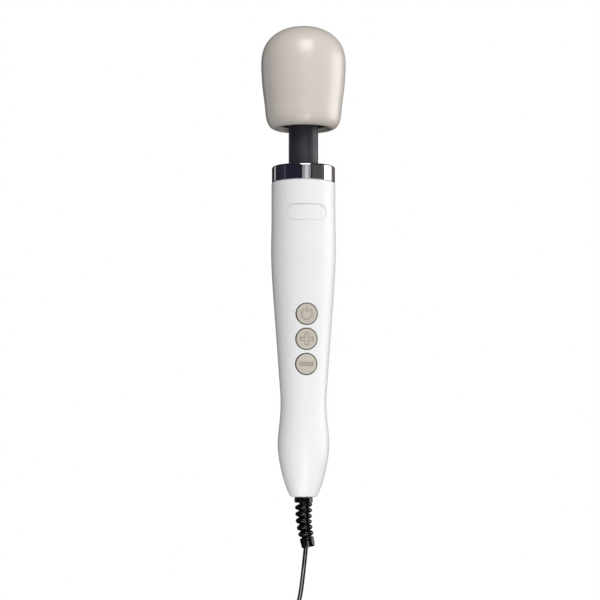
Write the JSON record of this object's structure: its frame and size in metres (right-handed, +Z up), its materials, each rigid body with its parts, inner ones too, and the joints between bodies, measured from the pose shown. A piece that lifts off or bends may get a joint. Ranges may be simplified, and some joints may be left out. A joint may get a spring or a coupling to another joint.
{
  "type": "handheld wand massager",
  "caption": "Corded wand massager: tapered white handle with round buttons, chrome collar, flexible dark neck and rounded vibrating head.",
  "frame": {"origin": "on the surface that the wand lies on, under the middle of the wand without its cord", "axes": "+Y along the wand from the cord end to the head, +Z up, out of the side with the buttons, +X to the right of the buttons"},
  "size_m": [0.0612, 0.5333, 0.0613],
  "materials": {
    "shell_white": "gloss white moulded plastic",
    "collar_chrome": "polished dark chrome plating",
    "neck_rubber": "satin charcoal rubber",
    "head_cap": "gloss greige soft-touch moulding",
    "button_cap": "satin greige plastic",
    "black_rubber": "gloss black flexible moulding",
    "black_plastic": "matt black plastic",
    "cord_black": "gloss black cable jacket",
    "steel": "bright steel",
    "motor_steel": "zinc plated steel",
    "brass": "brass",
    "copper": null,
    "magnet": "sintered ferrite",
    "board_green": "green board laminate",
    "component_black": "matt black component",
    "connector_cream": "natural nylon",
    "nickel": "bright nickel plating",
    "tie_black": "woven hook and loop tie"
  },
  "bodies": {
    "handle": {"front_shell": "shell_white", "rear_shell": "shell_white", "case_screws": "steel", "small_screws": "steel", "control_board": "board_green", "tactile_switches": "nickel", "controller_chip": "component_black", "power_transistors": "component_black", "board_capacitors": "component_black", "board_connectors": "connector_cream", "board_leads": "cord_black", "strain_relief": "black_rubber", "cord_inner": "cord_black", "cord_clamp": "black_plastic", "motor_can": "motor_steel", "motor_end_cap": "black_plastic", "motor_terminals": "brass", "motor_bushes": "brass", "field_magnets": "magnet", "brush_holders": "brass", "brushes": "component_black", "motor_mounts": "black_rubber", "collar_ring": "collar_chrome", "cord_lead": "cord_black", "cord_coil": "cord_black", "cord_end": "cord_black", "coil_tie": "tie_black", "plug_body": "black_rubber", "plug_sleeve": "nickel", "plug_insulator": "component_black", "plug_contact": "nickel"},
    "neck": {"neck_sleeve": "neck_rubber"},
    "head": {"head_cap": "head_cap", "head_base_ring": "black_plastic", "head_screws": "steel", "head_core_lower": "black_plastic", "head_core_upper": "black_plastic", "core_screws": "steel", "bearing_outer_rings": "steel"},
    "rotor": {"motor_shaft": "steel", "armature_core": "motor_steel", "armature_windings": "copper", "commutator": "copper", "motor_coupling": "steel", "motor_coupling_screw": "steel", "drive_spring": "steel"},
    "eccentric": {"eccentric_shaft": "steel", "eccentric_coupling": "steel", "eccentric_weight": "motor_steel", "eccentric_screws": "steel", "shaft_clip": "steel", "bearing_inner_rings": "steel"},
    "ball_sets": {"bearing_balls": "steel", "bearing_cages": "connector_cream"},
    "power_button": {"power_button": "button_cap", "power_plunger": "component_black"},
    "plus_button": {"plus_button": "button_cap", "plus_plunger": "component_black"},
    "minus_button": {"minus_button": "button_cap", "minus_plunger": "component_black"}
  },
  "joints": [
    {"name": "neck_bend_fore_aft", "type": "hinge", "parent": "handle", "child": "neck", "pos_m": [0, 0.09295, 0.0277], "axis": [1, 0, 0], "range_deg": [-10, 10], "stiffness_Nm_per_rad": 12, "deforming": ["neck_sleeve", "drive_spring"]},
    {"name": "neck_bend_sideways", "type": "hinge", "parent": "neck", "child": "head", "pos_m": [0, 0.10694, 0.02833], "axis": [0, -0.0449, 0.999], "range_deg": [-10, 10], "stiffness_Nm_per_rad": 12},
    {"name": "rotor_spin", "type": "hinge", "parent": "handle", "child": "rotor", "pos_m": [0, 0.02802, 0.02478], "axis": [0, 0.999, 0.0449], "continuous": true},
    {"name": "eccentric_spin", "type": "hinge", "parent": "head", "child": "eccentric", "pos_m": [0, 0.1439, 0.02999], "axis": [0, 0.999, 0.0449], "continuous": true},
    {"name": "ball_set_spin", "type": "hinge", "parent": "head", "child": "ball_sets", "pos_m": [0, 0.1439, 0.02999], "axis": [0, 0.999, 0.0449], "continuous": true},
    {"name": "power_press", "type": "slide", "parent": "handle", "child": "power_button", "axis": [0, 0.1185, -0.9929], "range_m": [0, 0.0005], "stiffness_N_per_m": 1500, "springref_m": -0.0002},
    {"name": "plus_press", "type": "slide", "parent": "handle", "child": "plus_button", "axis": [0, 0.1185, -0.9929], "range_m": [0, 0.0005], "stiffness_N_per_m": 1500, "springref_m": -0.0002},
    {"name": "minus_press", "type": "slide", "parent": "handle", "child": "minus_button", "axis": [0, 0.1185, -0.9929], "range_m": [0, 0.0005], "stiffness_N_per_m": 1500, "springref_m": -0.0002}
  ],
  "couplings": [
    {"joint": "eccentric_spin", "follows": "rotor_spin", "ratio": 1},
    {"joint": "ball_set_spin", "follows": "rotor_spin", "ratio": 0.392}
  ]
}
